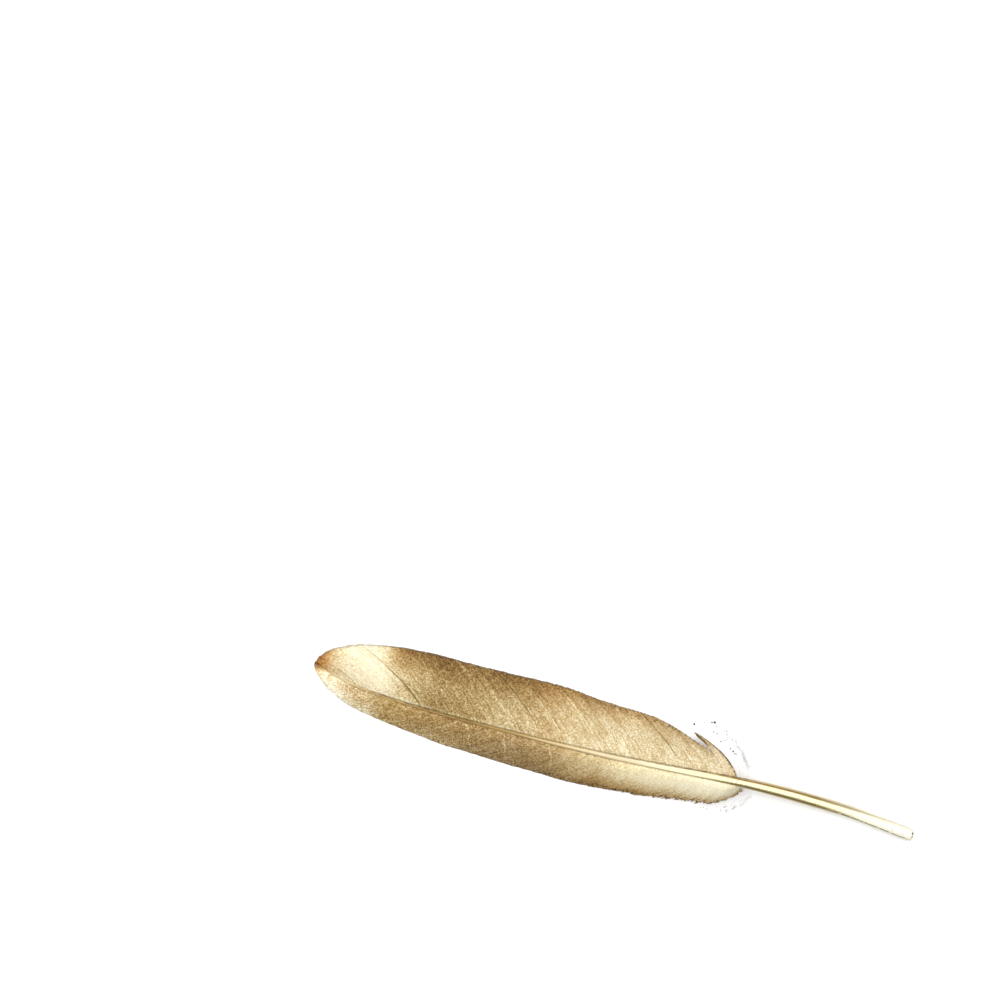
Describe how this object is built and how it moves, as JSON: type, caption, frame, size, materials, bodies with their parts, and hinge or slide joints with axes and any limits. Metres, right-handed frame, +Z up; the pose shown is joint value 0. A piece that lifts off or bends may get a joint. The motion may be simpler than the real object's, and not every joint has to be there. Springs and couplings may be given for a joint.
{
  "type": "goose quill feather",
  "caption": "Gilded goose quill feather lying flat: bare hollow quill, tapering ribbed shaft, a broad and a narrow vane of fine barbs, wisps of down at the base.",
  "frame": {"origin": "middle of the feather's length and width, on the flat surface it lies on", "axes": "+X along the feather from the vanes' tip to the quill's end, +Y towards the broad vane, +Z up out of the feather's convex side"},
  "size_m": [0.1761, 0.0283, 0.0057],
  "materials": {
    "gilded_shaft": "gloss",
    "gilded_vane": "satin",
    "down": "matte"
  },
  "bodies": {
    "root": {"shaft": "gilded_shaft", "broad_vane": "gilded_vane", "narrow_vane": "gilded_vane", "broad_side_down": "down", "narrow_side_down": "down"}
  },
  "joints": []
}
